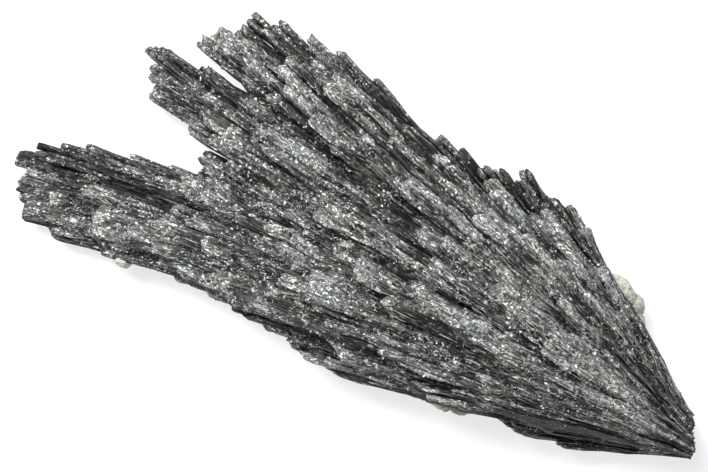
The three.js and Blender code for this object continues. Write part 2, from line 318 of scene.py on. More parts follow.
def leaned(across, up, lean):
    """The side and rise of a section that leans by an angle in radians."""
    return across * math.cos(lean) + up * math.sin(lean), up * math.cos(lean) - across * math.sin(lean)


def level_frame(line, lean):
    """Section frame of a blade that lies flat, leaning to one side."""
    ahead = directions(line)
    across = unit(np.stack([-ahead[:, 1], ahead[:, 0], np.zeros(len(line))], axis=1))
    up = np.cross(ahead, across)
    up *= np.sign(up[:, 2:3])
    return leaned(across, up, lean)


# Leans of the core's blades in degrees, taken in turn.
LEANS = [6, -9, 3, -5, 10, -2]


def core_blade(blade, layer, index):
    """A blade of the core as a bundle of strips, side by side and in tiers, each with its own length."""
    bearing, reach, breadth = blade.bearing, blade.reach, blade.breadth
    first = blade.start or layer.start or root_break(bearing) + 0.25 * (index % 3)
    lean = math.radians(LEANS[index % len(LEANS)])
    strips, tiers = layer.splits[dice.integers(len(layer.splits))]
    leader = dice.integers(strips * tiers)
    fullness = 1.14 if reach > 85 and bearing > -11.5 else 0.98
    lines = []
    for k in range(strips * tiers):
        column = (2 * (k % strips + 0.5) / strips - 1) if strips > 1 else 0
        storey = (2 * (k // strips + 0.5) / tiers - 1) if tiers > 1 else 0
        end = reach * (1 - (0 if k == leader else layer.shortfall * dice.uniform() ** 1.5)) + 0.35
        end -= slash_at(bearing, reach) * column * breadth * 0.45
        s = stations(first, end, 2.8)
        half = breadth / 2 * (0.34 + 0.66 * np.minimum(1, s / (0.72 * reach))) * fullness
        bearings = drifted_bearing(bearing, reach, blade.curl, s)
        height = sheaf_thickness(s, bearing)
        z = arch(s) + (layer.level + layer.thick / 2 * storey * 0.9) * height
        z = z + blade.lift * s / reach + wander(s, 0.12)
        if layer.level > 0.5:
            z += np.clip(tone_at(s, bearings), -0.9, 0.4)
        line = np.column_stack([polar(s, bearings), z])
        side, rise = level_frame(line, lean)
        line += side * (half * column * 0.9 + wander(s, 0.14))[:, None]
        side, rise = level_frame(line, lean + dice.normal(0, 0.12))
        lines.append(guide(
            line, side, rise,
            half_width=half / strips * dice.uniform(1.05, 1.3) * tapered(s, 0.75, first + 10, layer.blunt),
            half_thick=height * layer.thick / 2 / tiers * dice.uniform(0.95, 1.3)
            * tapered(s, 0.8, first + 10, layer.blunt),
            run=s, lane=bearing, frost=frost_at(s, end) + 0.8 * tone_at(s, bearings),
            slash=slash_at(bearing, reach),
        ))
    return lines


def lay_layers(*names):
    """The strips of every blade of the named layers."""
    return [
        line
        for name in names
        for index, row in enumerate(CORE[name].rows)
        for line in core_blade(Blade(*row), CORE[name], index)
    ]


def lay_splinters():
    """Short splinters round the broken ends of the core's blades."""
    lines = []
    for name, layer in CORE.items():
        for row in layer.rows:
            blade = Blade(*row)
            reach = blade.reach
            stout = 1.4 if reach > 85 and blade.bearing > -2.5 else 1
            for _ in range(7 if name == "outline" else 4):
                end = reach * (1 - 0.1 * dice.uniform() ** 1.7)
                s = stations(max(4, end - dice.uniform(7, 18)), end, 2.2, bevel=0.2)
                off = np.degrees(dice.uniform(-0.36, 0.36) * blade.breadth / reach)
                bearings = drifted_bearing(blade.bearing, reach, blade.curl, s) + off
                height = sheaf_thickness(s, blade.bearing)
                z = arch(s) + (layer.level + layer.thick * dice.uniform(-0.45, 0.45)) * height
                z = z + blade.lift * s / reach
                line = np.column_stack([polar(s, bearings), z + wander(s, 0.08)])
                side, rise = level_frame(line, dice.uniform(-0.6, 0.6))
                wide = dice.uniform(0.45, 1.1) * stout
                shape = tapered(s, 0.5, s[0] + 4, 0.55)
                lines.append(guide(
                    line, side, rise, half_width=wide / 2 * shape,
                    half_thick=wide * dice.uniform(0.3, 0.5) * shape,
                    run=s, lane=blade.bearing, frost=frost_at(s, end) + 0.5 * tone_at(s, bearings),
                ))
    return lines


def lay_root():
    """Short stubs that fill the broken root."""
    lines = []
    for _ in range(110):
        bearing = dice.uniform(-33, 17)
        first = root_break(bearing) + dice.uniform(0, 0.9)
        s = stations(first, first + dice.uniform(4, 8), 1.4)
        z = arch(s) + dice.uniform(0.04, 0.92) * sheaf_thickness(s, bearing)
        line = np.column_stack([polar(s, np.full(len(s), bearing)), z])
        side, rise = level_frame(line, dice.uniform(-0.6, 0.6))
        wide = dice.uniform(0.5, 1.1)
        lines.append(guide(line, side, rise, half_width=wide / 2, half_thick=wide * dice.uniform(0.4, 0.9),
                           run=s, lane=bearing, frost=dice.uniform(-0.2, 0.5)))
    return lines


# ------------------------------------------------------------------------------------- laying down nodes

class Field:
    """What a node puts out. Sums with a number or another field lay down the nodes that reckon them."""

    def __init__(self, tree, socket):
        self.tree, self.socket = tree, socket

    def math(self, operation, *others, clamp=False):
        inputs = dict(enumerate((self, *others)))
        return Node(self.tree, "ShaderNodeMath", inputs, operation=operation, use_clamp=clamp)[0]

    def __add__(self, other):
        return self.math("ADD", other)

    def __sub__(self, other):
        return self.math("SUBTRACT", other)

    def __mul__(self, other):
        return self.math("MULTIPLY", other)

    def __truediv__(self, other):
        return self.math("DIVIDE", other)

    def __rsub__(self, other):
        return Node(self.tree, "ShaderNodeMath", {0: other, 1: self}, operation="SUBTRACT")[0]

    def __rtruediv__(self, other):
        return Node(self.tree, "ShaderNodeMath", {0: other, 1: self}, operation="DIVIDE")[0]

    def times_plus(self, factor, extra):
        return self.math("MULTIPLY_ADD", factor, extra)

    def vector(self, operation, other):
        return Node(self.tree, "ShaderNodeVectorMath", {0: self, 1: other}, operation=operation)[0]

    def moved(self, offset):
        return self.vector("ADD", offset)

    def scaled(self, scale):
        return Node(self.tree, "ShaderNodeVectorMath", {0: self, "Scale": scale}, operation="SCALE")[0]

    def ramp(self, low_edge, high_edge, low_value=0.0, high_value=1.0, kind="SMOOTHSTEP"):
        return Node(self.tree, "ShaderNodeMapRange", {
            "Value": self, "From Min": low_edge, "From Max": high_edge, "To Min": low_value,
            "To Max": high_value}, interpolation_type=kind)[0]


class Node:
    """A node with its settings and inputs. Its outputs are read as fields, by their name or number."""

    def __init__(self, tree, kind, inputs=None, **settings):
        self.tree, self.node = tree, tree.nodes.new(kind)
        for key, value in settings.items():
            setattr(self.node, key, value)
        for key, value in (inputs or {}).items():
            self.feed(key, value)

    def __getitem__(self, key):
        return Field(self.tree, self.node.outputs[key])

    def feed(self, key, value):
        join(self.node.inputs[key], value)


def join(socket, value):
    """Gives a socket a field or a plain value."""
    if isinstance(value, Field):
        value.tree.links.new(value.socket, socket)
    else:
        socket.default_value = value


def node_group(name, kind, inputs, outputs):
    """A node group with its sockets, as {name: kind}, and the two nodes where they come in and go out."""
    tree = bpy.data.node_groups.new(name, kind)
    for sockets, way in ((inputs, "INPUT"), (outputs, "OUTPUT")):
        for label, socket in sockets.items():
            tree.interface.new_socket(label, in_out=way, socket_type="NodeSocket" + socket)
    return tree, Node(tree, "NodeGroupInput"), Node(tree, "NodeGroupOutput")


def combined(tree, *parts):
    return Node(tree, "ShaderNodeCombineXYZ", dict(enumerate(parts)))[0]


def split(spot):
    return Node(spot.tree, "ShaderNodeSeparateXYZ", {0: spot})


def cloud(spot, scale, detail, rough=0.55, output="Fac"):
    inputs = {"Vector": spot, "Scale": scale, "Detail": detail, "Roughness": rough}
    return Node(spot.tree, "ShaderNodeTexNoise", inputs)[output]


def stirred(spot, scale, detail):
    """Noise as a vector that points any way."""
    return cloud(spot, scale, detail, 0.5, "Color").vector("SUBTRACT", (0.5, 0.5, 0.5))


# --------------------------------------------------------------------------- sweeping, in Geometry Nodes

# Blades are pressed flat this close to the ground and to the fan's greatest height, in millimetres.
PRESSED = 0.5


def named(tree, name, kind="FLOAT"):
    return Node(tree, "GeometryNodeInputNamedAttribute", {"Name": name}, data_type=kind)[0]


def stored(geometry, name, value, kind="FLOAT", domain="POINT"):
    """The geometry with a value kept on it under a name."""
    return Node(geometry.tree, "GeometryNodeStoreNamedAttribute",
                {"Geometry": geometry, "Name": name, "Value": value}, data_type=kind, domain=domain)[0]


def realized(geometry):
    return Node(geometry.tree, "GeometryNodeRealizeInstances", {"Geometry": geometry})[0]


def hand_out(out, name, geometry, finish):
    """The end of a tree: its geometry made real, with its finish."""
    inputs = {"Geometry": realized(geometry), "Material": finish}
    out.feed(name, Node(geometry.tree, "GeometryNodeSetMaterial", inputs)[0])


def sweep_tree():
    """Sweeps a striated, flat-sided section along every guide line, breaks steps into it and roughens its
    end."""
    tree, given, out = node_group("sweep blades", "GeometryNodeTree", {
        "Guides": "Geometry", "Facets": "Int", "Groove Depth": "Float", "Step Depth": "Float",
        "Ragged End": "Float", "Waver": "Float", "Crumble": "Float", "Height": "Float", "Unit": "Float",
        "Finish": "Material"}, {"Blades": "Geometry"})
    unit_size = given["Unit"]

    # The section is an open strip round the blade, so that its ends can carry different map places.
    strip = Node(tree, "GeometryNodeCurvePrimitiveLine")[0]
    strip = Node(tree, "GeometryNodeResampleCurve", {"Curve": strip, "Count": given["Facets"] + 1})[0]
    section = Node(tree, "GeometryNodeCaptureAttribute", {"Geometry": strip})
    section.node.capture_items.new("FLOAT", "Around")
    section.feed("Around", Node(tree, "GeometryNodeSplineParameter")["Factor"])
    around = section["Around"]
    curves = Node(tree, "GeometryNodeMeshToCurve", {"Mesh": given["Guides"]})[0]
    swept = Node(tree, "GeometryNodeCurveToMesh", {"Curve": curves, "Profile Curve": section[0]})[0]

    seed, run, share, fill = (named(tree, name) for name in ("seed", "run", "share", "fill"))
    half_width, half_thick = named(tree, "half_width"), named(tree, "half_thick")
    side, rise, axis = (named(tree, name, "FLOAT_VECTOR") for name in ("side", "rise", "axis"))

    def cut_wave(shift, steepness):
        """A triangle wave round the section, cut off at -1 and 1, which makes the section's sides flat."""
        away = ((around + shift).math("FRACT") - 0.5).math("ABSOLUTE")
        return (away.times_plus(4.0, -1.0) * steepness).math("MINIMUM", 1.0).math("MAXIMUM", -1.0)

    across, up = cut_wave(0.0, 1.12), cut_wave(0.75, 1.9)
    turn = around * (2 * math.pi)
    cosine, sine = turn.math("COSINE"), turn.math("SINE")

    def section_noise(spread, stretch, detail, shift):
        """Noise that closes round the section and is drawn out along the blade."""
        return Node(tree, "ShaderNodeTexNoise", {
            "Vector": combined(tree, cosine * spread, sine * spread, run * stretch), "W": seed + shift,
            "Scale": 1.0, "Detail": detail, "Roughness": 0.62}, noise_dimensions="4D")[0]

    grooves = section_noise(2.6, 0.035, 2.0, 0.0)
    ledges = section_noise(0.75, 0.085, 1.0, 11.0)
    ends = section_noise(1.5, 0.0, 1.5, 23.0)

    groove = (grooves - 0.5) * given["Groove Depth"]
    step = (ledges.ramp(0.53, 0.56) * 0.6 + ledges.ramp(0.42, 0.44) * 0.4) * given["Step Depth"]
    # thin blades take shallower grooves and steps
    slim = half_thick.ramp(0.1, 1.2, 0.25, 1.0, kind="LINEAR")
    depth = (groove - step) * slim * fill
    x = across * half_width * fill + across * depth * 0.45
    y = up * half_thick * fill + up * depth
    near_end = (share - half_width.ramp(0.0, 3.0, 0.0, 0.12)).ramp(0.80, 1.0)
    jag = ((ends - 0.55) * given["Ragged End"] - named(tree, "slash") * x) * near_end * fill
    ahead = side.vector("CROSS_PRODUCT", rise)
    spot = axis.moved(side.scaled(x).moved(rise.scaled(y)).moved(ahead.scaled(jag)))

    # the whole heap wavers and crumbles a little, neighbours together
    wavered = stirred(spot, 0.16, 1.0).scaled(given["Waver"])
    crumbled = stirred(spot, 0.85, 2.0).scaled(given["Crumble"])
    spot = split(spot.moved(wavered).moved(crumbled))

    def pressed(above):
        """What is left of a height above a plane, when it is squeezed into PRESSED."""
        over = above.math("MAXIMUM", 0.0)
        return over - (over / -PRESSED).math("EXPONENT").times_plus(-PRESSED, PRESSED)

    # nothing goes below the ground or above the fan's height: there blades are pressed flat
    too_low = pressed(PRESSED - spot[2])
    too_high = pressed(spot[2] - (given["Height"] - PRESSED))
    level = spot[2] + too_low - too_high
    shaped = Node(tree, "GeometryNodeSetPosition", {
        "Geometry": swept, "Position": combined(tree, spot[0], spot[1], level).scaled(unit_size)})[0]

    # grain: how far round and along the blade, in metres of the fan, and the blade's own number
    round_it = around * named(tree, "girth")
    grain = combined(tree, round_it * unit_size, run * unit_size, seed)
    # flow: the same over the whole fan, across and along its rays, so that patches pass from blade to blade
    flow = combined(tree, named(tree, "lane") + x, run, spot[2]).scaled(unit_size)
    # 1 along the sides of each blade's section, where it meets its neighbours: the finish paints shade between
    # blades with it
    seam = across.math("ABSOLUTE").ramp(0.72, 1.0) * fill
    sheet = split(named(tree, "sheet", "FLOAT_VECTOR"))
    u = round_it.times_plus(sheet[2], sheet[0])
    v = named(tree, "along").times_plus(sheet[2], sheet[1])
    # the closing stations take a sliver of the map of their own
    v = v + (1.0 - fill) * (share - 0.5) * (half_width * sheet[2])
    shaped = stored(shaped, "grain", grain, "FLOAT_VECTOR", "CORNER")
    shaped = stored(shaped, "flow", flow, "FLOAT_VECTOR")
    shaped = stored(shaped, "OFBake", combined(tree, u, v), "FLOAT2", "CORNER")
    shaped = stored(shaped, "seam", seam)
    closed = Node(tree, "GeometryNodeMergeByDistance", {"Geometry": shaped, "Distance": 2e-7})[0]
    bent = Node(tree, "GeometryNodeInputMeshEdgeAngle")[0]
    crease = Node(tree, "FunctionNodeCompare", {0: bent, 1: 0.55}, operation="GREATER_THAN")[0]
    hand_out(out, "Blades", stored(closed, "sharp_edge", crease, "BOOLEAN", "EDGE"), given["Finish"])
    return tree


# ------------------------------------------------------------------------------------- meshes in and out

# Attributes that only the trees read, and that the finished pieces don't keep.
WORKING = ("half_width", "half_thick", "run", "along", "share", "fill", "seed", "girth", "lane", "slash",
           "axis", "side", "rise", "sheet", "facing", "size", "turn", "plate")


def share_out_sheet(lines):
    """Gives every blade its own strip of one square map, in shelves of strips that stand side by side."""
    margin, tail = 0.35, 3
    order = sorted(lines, key=lambda line: -line["along"][-1])
    area = sum((line["girth"] + margin) * (line["along"][-1] + tail) for line in order)
    width = math.sqrt(area) * 1.03
    x = y = shelf = 0.0
    for line in order:
        wide = line["girth"] + margin
        if x + wide > width:
            x, y, shelf = 0.0, y + shelf, 0.0
        line["sheet"] = np.array([x + margin / 2, y + tail / 2, 1])
        x += wide
        shelf = max(shelf, line["along"][-1] + tail)
    scale = 1 / max(width, y + shelf)
    for line in lines:
        line["sheet"] = np.tile(line["sheet"] * scale, (len(line["axis"]), 1))


def marked_points(name, spots, edges, marks):
    """An object of bare points and edges. marks holds a number or a vector for every point, by name."""
    mesh = bpy.data.meshes.new(name)
    mesh.from_pydata(spots.tolist(), edges, [])
    for key, values in marks.items():
        values = np.asarray(values, np.float32)
        kind, slot = ("FLOAT", "value") if values.ndim == 1 else ("FLOAT_VECTOR", "vector")
        mesh.attributes.new(key, kind, "POINT").data.foreach_set(slot, values.ravel())
    piece = bpy.data.objects.new(name, mesh)
    bpy.context.scene.collection.objects.link(piece)
    return piece


def guide_object(name, lines):
    """The guide lines as one mesh of edges that carries their sizes."""
    share_out_sheet(lines)
    counts = [len(line["axis"]) for line in lines]
    starts = np.concatenate([[0], np.cumsum(counts)])
    edges = [(a + i, a + i + 1) for a, n in zip(starts, counts) for i in range(n - 1)]
    marks = {}
    for key, first in lines[0].items():
        values = [line[key] for line in lines]
        marks[key] = np.concatenate(values) if np.ndim(first) else np.repeat(values, counts)
    return marked_points(name, marks["axis"], edges, marks)


def gathered(items, key, width=1, kind=float):
    """One number, or a row of them, read from each item of a mesh."""
    values = np.zeros(len(items) * width, kind)
    items.foreach_get(key, values)
    return values.reshape(-1, width) if width > 1 else values


def face_outwards(mesh):
    """Turns the faces round if the closed mesh is inside out."""
    mesh.calc_loop_triangles()
    corners = gathered(mesh.loop_triangles, "vertices", 3, np.int64)
    a, b, c = gathered(mesh.vertices, "co", 3)[corners].transpose(1, 0, 2)
    if np.einsum("ij,ij->i", a, np.cross(b, c)).sum() < 0:
        mesh.flip_normals()


def socket_id(tree, name):
    return next(s.identifier for s in tree.interface.items_tree if s.name == name and s.in_out == "INPUT")


def grown(piece, tree, **inputs):
    """Runs a node tree on a piece and keeps the result as its plain mesh."""
    modifier = piece.modifiers.new("shape", "NODES")
    modifier.node_group = tree
    for name, value in inputs.items():
        modifier[socket_id(tree, name.replace("_", " ").title())] = value
    graph = bpy.context.evaluated_depsgraph_get()
    mesh = bpy.data.meshes.new_from_object(
        piece.evaluated_get(graph), preserve_all_data_layers=True, depsgraph=graph)
    piece.modifiers.clear()
    old, piece.data = piece.data, mesh
    bpy.data.meshes.remove(old)
    mesh.name = piece.name
    for key in WORKING:
        if key in mesh.attributes:
            mesh.attributes.remove(mesh.attributes[key])
    face_outwards(mesh)
    return piece


def sweep(name, lines, facets, groove, step, ragged, crumble=0.5):
    """Makes one piece from guide lines."""
    return grown(
        guide_object(name, lines), SWEEP, facets=facets, groove_depth=groove, step_depth=step,
        ragged_end=ragged, waver=0.9, crumble=crumble, height=high.z / MM, unit=MM, finish=KYANITE)


# ------------------------------------------------------------------------------------ the heap's surface

def solid_tree(pieces):
    """The pieces' faces, ready for rays to be cast at."""
    spots, faces, base = [], [], 0
    for piece in pieces:
        mesh = piece.data
        spots += [v.co.copy() for v in mesh.vertices]
        faces += [[base + i for i in p.vertices] for p in mesh.polygons]
        base += len(mesh.vertices)
    return BVHTree.FromPolygons(spots, faces)


class Skin:
    """The heap's surface seen from straight above or below, as a grid of heights in millimetres."""
    CELL = 0.35
    MARGIN = 1.0
    FAR = 40.0

    def __init__(self, pieces, above):
        self.sign = 1 if above else -1
        self.corner = np.array([low.x, low.y]) / MM - self.MARGIN
        size = (np.array([high.x, high.y]) / MM + self.MARGIN - self.corner) / self.CELL
        nx, ny = size.astype(int) + 1
        tree = solid_tree(pieces)
        grid = np.full((nx, ny), np.nan)
        down = Vector((0, 0, -self.sign))
        for i in range(nx):
            for j in range(ny):
                spot = self.corner + np.array([i, j]) * self.CELL
                hit = tree.ray_cast(Vector((spot[0], spot[1], self.FAR * self.sign)) * MM, down)[0]
                if hit:
                    grid[i, j] = hit.z / MM
        self.known = ~np.isnan(grid)
        self.smooth, _ = self.blurred(grid, 2.0)
        self.broad, covered = self.blurred(grid, 3.6)
        # 0 at the heap's rim and 1 inside it
        self.inward = np.clip((covered - 0.62) / 0.3, 0, 1)

    def blurred(self, grid, cells):
        """The heights blurred over what is known of them, and how much of each place's surroundings is."""
        reach = int(cells * 2.5)
        kernel = np.exp(-0.5 * (np.arange(-reach, reach + 1) / cells) ** 2)
        known = self.known.astype(float)
        filled = np.where(self.known, grid, 0.0)
        for axis in (0, 1):
            known = np.apply_along_axis(np.convolve, axis, known, kernel, "same")
            filled = np.apply_along_axis(np.convolve, axis, filled, kernel, "same")
        heights = np.where(known > 0.02, filled / np.maximum(known, 1e-9), np.nan)
        return heights, known / kernel.sum() ** 2

    def read(self, grid, flat):
        """A grid's value at places in the plan."""
        at = np.clip((flat - self.corner) / self.CELL, 0, np.array(grid.shape) - 1.001)
        i, j = at.astype(int).T
        u, v = (at - at.astype(int)).T
        return ((grid[i, j] * (1 - u) + grid[i + 1, j] * u) * (1 - v)
                + (grid[i, j + 1] * (1 - u) + grid[i + 1, j + 1] * u) * v)

    def covers(self, flat):
        at = np.rint((flat - self.corner) / self.CELL).astype(int)
        at = np.clip(at, 0, np.array(self.known.shape) - 1)
        return self.known[at[:, 0], at[:, 1]]

    def normals(self, flat):
        gap = 0.7
        slopes = [
            (self.read(self.broad, flat + way) - self.read(self.broad, flat - way)) / (2 * gap)
            for way in ([gap, 0], [0, gap])
        ]
        up = unit(np.nan_to_num(np.stack([-slopes[0], -slopes[1], np.ones(len(flat))], axis=1)))
        return up * self.sign


def mark_depth(pieces, skins):
    """Stores how many millimetres each spot stands above the heap's general surface, or lies sunk in it."""
    for piece in pieces:
        spots = gathered(piece.data.vertices, "co", 3) / MM
        proud = []
        for skin in skins:
            above = (spots[:, 2] - skin.read(skin.broad, spots[:, :2])) * skin.sign
            proud.append(above * skin.read(skin.inward, spots[:, :2]))
        depth = np.nan_to_num(np.fmax(*proud), nan=0.0)
        # the finish paints shade where this is below 0, and lays more frost where it is above 0
        mark = piece.data.attributes.new("proud", "FLOAT", "POINT")
        mark.data.foreach_set("value", depth.astype(np.float32))


def shingle(skin, bearing, reach, length, breadth, thick, proud, step=1.3, lean=None, sink=1.2, slant=0.0):
    """A blade that lies on the heap: buried at its start and standing proud where it breaks off. slant is
    how far it strays across the grain. None if it would hang over an edge."""
    s = stations(max(3.6, reach - length), reach, step, bevel=min(0.4, breadth * 0.22))
    bearings = drifted_bearing(bearing, reach, curl_at(bearing, reach), s)
    bearings = bearings + np.degrees(slant * (s - reach) / reach)
    flat = polar(s, bearings)
    across = np.gradient(flat, axis=0)[:, ::-1] * [-1, 1]
    across *= 0.42 * breadth / np.linalg.norm(across, axis=1, keepdims=True)
    sides = [skin.covers(flat + across), skin.covers(flat - across)]
    height = skin.read(skin.smooth, flat)
    known = ~np.isnan(height)
    if any(side.mean() < 0.9 or not side[-3:].all() for side in sides) or known.sum() < 4:
        return None
    bend = np.polyfit(s[known], height[known], 2 if length > 12 else 1)
    z = 0.5 * np.polyval(bend, s) + 0.5 * np.interp(s, s[known], height[known])
    share = (s - s[0]) / (s[-1] - s[0])
    risen = proud * share ** 1.5 - (1 - share) ** 2 * thick * sink
    z += skin.sign * (risen - thick / 2)
    line = np.column_stack([flat, z + wander(s, 0.05)])
    ahead = directions(line)
    up = skin.normals(flat)
    up = unit(up - ahead * np.einsum("ij,ij->i", up, ahead)[:, None])
    side, rise = leaned(np.cross(up, ahead), up, dice.normal(0, 0.13) if lean is None else lean)
    return guide(
        line, side, rise,
        half_width=breadth / 2 * tapered(s, 0.4, s[0] + 0.45 * (reach - s[0]), 0.45),
        half_thick=thick / 2 * tapered(s, 0.6, s[0] + 5, 0.4),
        run=s, lane=bearing, frost=frost_at(s, reach) + tone_at(s, bearings), slash=slash_at(bearing, reach),
    )


def lay_until(count, tries, lay_one):
    """Calls lay_one(number of the try) until it has given count lines, or the tries run out."""
    lines = []
    for k in range(tries):
        if len(lines) == count:
            break
        line = lay_one(k)
        if line:
            lines.append(line)
    return lines


def lay_landmarks(skin):
    """Each landmark is one broad blade with a frosted tip, and a lesser one at its side that ends sooner."""
    lines = []
    for bearing, reach, length, breadth, thick, proud in LANDMARKS:
        aside = np.degrees(0.62 * breadth / (reach - length / 3)) * dice.choice([-1, 1])
        main = shingle(skin, bearing, reach, length, breadth * dice.uniform(0.9, 1.1), thick * 1.5,
                       proud * dice.uniform(1.4, 1.8), step=1.2)
        lesser = shingle(skin, bearing + aside, reach - dice.uniform(1.5, 6), length * 0.7, 0.7 * breadth,
                         thick, proud * dice.uniform(0.5, 1.2))
        if main:
            main["frost"] += 0.9 * np.clip(1 - (main["run"][-1] - main["run"]) / 9, 0, 1)
        lines += [line for line in (main, lesser) if line]
    return lines


def lay_shingles(skin, count, lengths, breadths, proud, step=1.3):
    """Blades broken off at every length, scattered evenly over one face of the heap."""
    tries = count * 3
    reaches = 7 + 99 * dice.uniform(0, 1, tries) ** 0.6

    def lay_one(k):
        reach = reaches[k]
        bearing = dice.uniform(*EDGES)
        length = min(dice.uniform(*lengths), 0.75 * reach)
        if tone_at(reach - 2, bearing) < -0.4 and dice.uniform() < 0.9:
            return None
        loose = looseness(reach, bearing)
        breadth = dice.uniform(*breadths) * (0.55 + 0.45 * min(1, reach / 60)) * (0.7 + 0.3 * loose)
        thick = breadth * dice.uniform(0.45, 0.75)
        return shingle(skin, bearing, reach, length, breadth, thick,
                       dice.uniform(*proud) * (0.45 + 0.55 * loose),
                       step=step, slant=dice.normal(0, 0.05 + 0.4 / length))

    return lay_until(count, tries, lay_one)


def lay_crust(skin, count):
    """Short flat pieces that lie a little across the grain, where the blades are close together."""
    def lay_one(_):
        reach = 26 + 80 * dice.uniform() ** 0.8
        bearing = dice.uniform(-14, 15)
        if looseness(reach, bearing) > dice.uniform(0, 0.8):
            return None
        breadth = dice.uniform(0.9, 2.3)
        return shingle(skin, bearing, reach, dice.uniform(3, 8), breadth, breadth * 0.4,
                       dice.uniform(0.0, 0.3), step=0.9, sink=0.9, slant=dice.normal(0, 0.32))

    return lay_until(count, count * 6, lay_one)


def lay_fibres(skin, count):
    """Thin loose fibres along the grain."""
    def lay_one(_):
        reach = 8 + 96 * dice.uniform() ** 0.7
        bearing = dice.uniform(*EDGES)
        wide = dice.uniform(0.2, 0.5)
        return shingle(skin, bearing, reach, dice.uniform(4, 13), wide, wide * 0.8, dice.uniform(0.0, 0.25),
                       step=2.0, lean=dice.uniform(-0.8, 0.8), sink=0.6)

    return lay_until(count, count * 3, lay_one)


# ------------------------------------------------------------------------------------------- mica flakes

FULL_TURN = 6.28
PLATE_SIDES = 5


def flake_tree():
    """A small tilted plate on every point, five-sided and wedge-shaped below."""
    tree, given, out = node_group("scatter mica flakes", "GeometryNodeTree", {
        "Places": "Geometry", "Breadth": "Float", "Smallest": "Vector", "Largest": "Vector", "Tilt": "Float",
        "Sheet Cells": "Int", "Seed": "Int", "Finish": "Material"}, {"Flakes": "Geometry"})

    def dicing(lowest, highest, extra):
        inputs = {0: lowest, 1: highest, "Seed": given["Seed"] + extra}
        return Node(tree, "FunctionNodeRandomValue", inputs, data_type="FLOAT_VECTOR")[0]

    # the plate: a cone that is cut off broad and flat
    cone = Node(tree, "GeometryNodeMeshCone", {
        "Vertices": PLATE_SIDES, "Radius Top": 0.5, "Radius Bottom": 0.0, "Depth": 0.6}, fill_type="NGON")[0]
    cone = Node(tree, "GeometryNodeTransform", {"Geometry": cone, "Translation": (0, 0, -0.45)})[0]
    cone = stored(cone, "plate", Node(tree, "GeometryNodeInputPosition")[0], "FLOAT_VECTOR")

    facing, tilt = named(tree, "facing", "FLOAT_VECTOR"), given["Tilt"]
    upright = Node(tree, "FunctionNodeAlignRotationToVector", {"Vector": facing}, axis="Z")[0]
    tilted = dicing(combined(tree, tilt * -1.0, tilt * -1.0, 0.0), combined(tree, tilt, tilt, FULL_TURN), 1)
    tilted = Node(tree, "FunctionNodeEulerToRotation", {0: tilted})[0]
    turned = Node(tree, "FunctionNodeRotateRotation", {0: upright, 1: tilted}, rotation_space="LOCAL")[0]
    shape = dicing(given["Smallest"], given["Largest"], 2)
    numbered = stored(given["Places"], "cell", Node(tree, "GeometryNodeInputIndex")[0])
    flakes = realized(Node(tree, "GeometryNodeInstanceOnPoints", {
        "Points": numbered, "Instance": cone, "Rotation": turned,
        "Scale": shape.scaled(given["Breadth"] * named(tree, "size"))})[0])

    # every flake has its own cell of one square map
    cell, cells = named(tree, "cell"), given["Sheet Cells"]
    plate = split(named(tree, "plate", "FLOAT_VECTOR"))
    row = ((cell + 0.5) / cells).math("FLOOR")
    column = cell - row * cells
    u = (plate[0].times_plus(0.9, 0.5) + column) / cells
    v = (plate[1].times_plus(0.9, 0.5) + row) / cells
    flakes = stored(flakes, "OFBake", combined(tree, u, v), "FLOAT2", "CORNER")
    flakes = Node(tree, "GeometryNodeSetShadeSmooth", {"Geometry": flakes, "Shade Smooth": False})[0]
    hand_out(out, "Flakes", flakes, given["Finish"])
    return tree


def bare_places(pieces, count):
    """Random places on what shows of the pieces, found by rays from all round: their spots, the way they
    face, and how frosted they are."""
    tree = solid_tree(pieces)
    face_frost = []
    for piece in pieces:
        mesh = piece.data
        first = gathered(mesh.polygons, "loop_start", kind=np.int64)
        corner = gathered(mesh.loops, "vertex_index", kind=np.int64)
        face_frost.append(gathered(mesh.attributes["frost"].data, "value")[corner[first]])
    face_frost = np.concatenate(face_frost)
    # how far off a ray starts, in metres, and the share of rays that mostly come from above
    far, from_above = 0.2, 0.72
    spots, facing, frost = [], [], []
    for _ in range(count):
        target = np.array([dice.uniform(*ends) for ends in zip(low, high)])
        away = dice.normal(0, 1, 3) * [1, 1, 0.8]
        if dice.uniform() < from_above:
            away[2] = abs(away[2]) + 0.5
        away /= np.linalg.norm(away)
        hit, normal, face, _ = tree.ray_cast(Vector(target + away * far), Vector(-away))
        if hit:
            spots.append(hit)
            facing.append(normal if normal.dot(Vector(away)) > 0 else -normal)
            frost.append(face_frost[face])
    return np.array(spots), np.array(facing), np.array(frost)


def scatter_flakes(name, tree, finish, pieces, tries, breadth, smallest, largest, seed):
    """Mica flakes on the bare faces, most of them where it is frosted. smallest and largest are the limits
    of a flake's shape, as shares of breadth."""
    clumps_per_metre = 260
    spots, facing, frost = bare_places(pieces, tries)
    clumps = np.array([noise.noise(Vector(p) * clumps_per_metre) for p in spots])
    kept = dice.uniform(0, 1, len(spots)) < np.clip(0.16 + 0.5 * frost + 1.3 * clumps, 0.03, 1)
    size = np.minimum(0.35 + dice.exponential(0.22, kept.sum()), 1.0)
    marks = {"facing": facing[kept], "size": size, "frost": frost[kept]}
    return grown(
        marked_points(name, spots[kept], [], marks), tree, breadth=breadth * MM, smallest=smallest,
        largest=largest, tilt=0.5, sheet_cells=math.ceil(math.sqrt(kept.sum())), seed=seed, finish=finish)


# ------------------------------------------------------------------------------------------------ quartz

